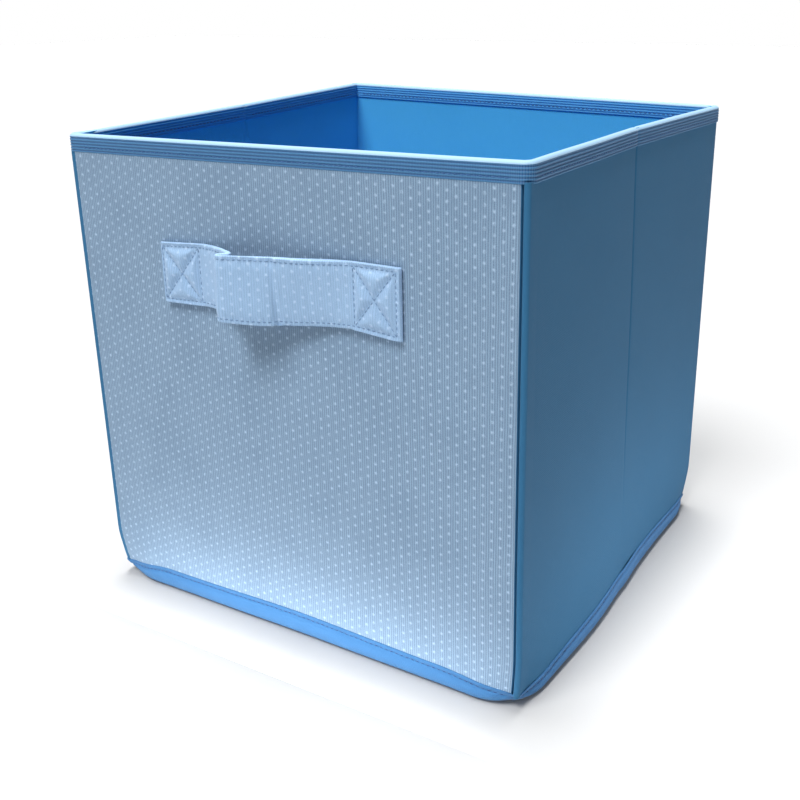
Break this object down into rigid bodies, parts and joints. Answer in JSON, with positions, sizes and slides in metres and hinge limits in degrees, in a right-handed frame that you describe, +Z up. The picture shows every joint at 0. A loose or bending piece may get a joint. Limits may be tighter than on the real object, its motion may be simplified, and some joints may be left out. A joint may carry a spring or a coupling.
{
  "type": "fabric storage bin",
  "caption": "Open-topped cube storage bin of fabric over cardboard walls, with creased side walls that fold flat, a lift-up base panel, a bound rim and a strap handle on the front.",
  "frame": {"origin": "middle of the underside of the bin, on the surface it stands on", "axes": "+X to the right of the front, +Y from the front wall to the back wall, +Z up"},
  "size_m": [0.28, 0.2881, 0.28],
  "materials": {
    "board": "matte",
    "plain_fabric": "matte",
    "lining": "matte",
    "rim_tape": "satin",
    "dotted_fabric": "matte",
    "thread": "satin"
  },
  "bodies": {
    "front_wall": {"front_board": "board", "front_cover": "plain_fabric", "front_lining": "lining", "front_rim_tape": "rim_tape", "front_left_seam": "plain_fabric", "front_right_seam": "plain_fabric", "front_dotted_panel": "dotted_fabric", "bottom_panel": "plain_fabric", "bottom_band": "plain_fabric", "bottom_band_join": "plain_fabric", "handle_left_end": "dotted_fabric", "handle_right_end": "dotted_fabric", "handle_stitching": "thread"},
    "handle": {"handle_loop": "dotted_fabric"},
    "base": {"base_board": "board", "base_cover_under": "lining", "base_cover_top": "lining"},
    "left_front": {"left_front_board": "board", "left_front_cover": "plain_fabric", "left_front_lining": "lining", "left_front_rim_tape": "rim_tape"},
    "left_rear": {"left_rear_board": "board", "left_rear_cover": "plain_fabric", "left_rear_lining": "lining", "left_rear_rim_tape": "rim_tape"},
    "right_front": {"right_front_board": "board", "right_front_cover": "plain_fabric", "right_front_lining": "lining", "right_front_rim_tape": "rim_tape"},
    "right_rear": {"right_rear_board": "board", "right_rear_cover": "plain_fabric", "right_rear_lining": "lining", "right_rear_rim_tape": "rim_tape"},
    "back_wall": {"back_board": "board", "back_cover": "plain_fabric", "back_lining": "lining", "back_rim_tape": "rim_tape", "back_left_seam": "plain_fabric", "back_right_seam": "plain_fabric"}
  },
  "joints": [
    {"name": "wall_fold", "type": "hinge", "parent": "front_wall", "child": "left_front", "pos_m": [-0.13605, -0.1287, 0.14], "axis": [0, 0, -1], "range_deg": [0, 88]},
    {"name": "left_crease", "type": "hinge", "parent": "left_front", "child": "left_rear", "pos_m": [-0.14015, 0.00118, 0.14], "axis": [0, 0, 1], "range_deg": [0, 176]},
    {"name": "back_left_corner", "type": "hinge", "parent": "left_rear", "child": "back_wall", "pos_m": [-0.13605, 0.13105, 0.14], "axis": [0, 0, -1], "range_deg": [0, 88]},
    {"name": "right_front_corner", "type": "hinge", "parent": "front_wall", "child": "right_front", "pos_m": [0.13605, -0.1287, 0.14], "axis": [0, 0, 1], "range_deg": [0, 88]},
    {"name": "right_crease", "type": "hinge", "parent": "right_front", "child": "right_rear", "pos_m": [0.14015, 0.00118, 0.14], "axis": [0, 0, -1], "range_deg": [0, 176]},
    {"name": "base_lift", "type": "hinge", "parent": "front_wall", "child": "base", "pos_m": [0, -0.12987, 0.0022], "axis": [1, 0, 0], "range_deg": [0, 90]},
    {"name": "handle_swing", "type": "hinge", "parent": "front_wall", "child": "handle", "pos_m": [0, -0.1358, 0.209], "axis": [1, 0, 0], "range_deg": [-15, 15], "stiffness_Nm_per_rad": 0.02}
  ],
  "couplings": [
    {"joint": "left_crease", "follows": "wall_fold", "ratio": 2},
    {"joint": "back_left_corner", "follows": "wall_fold", "ratio": 1},
    {"joint": "right_front_corner", "follows": "wall_fold", "ratio": 1},
    {"joint": "right_crease", "follows": "wall_fold", "ratio": 2}
  ]
}
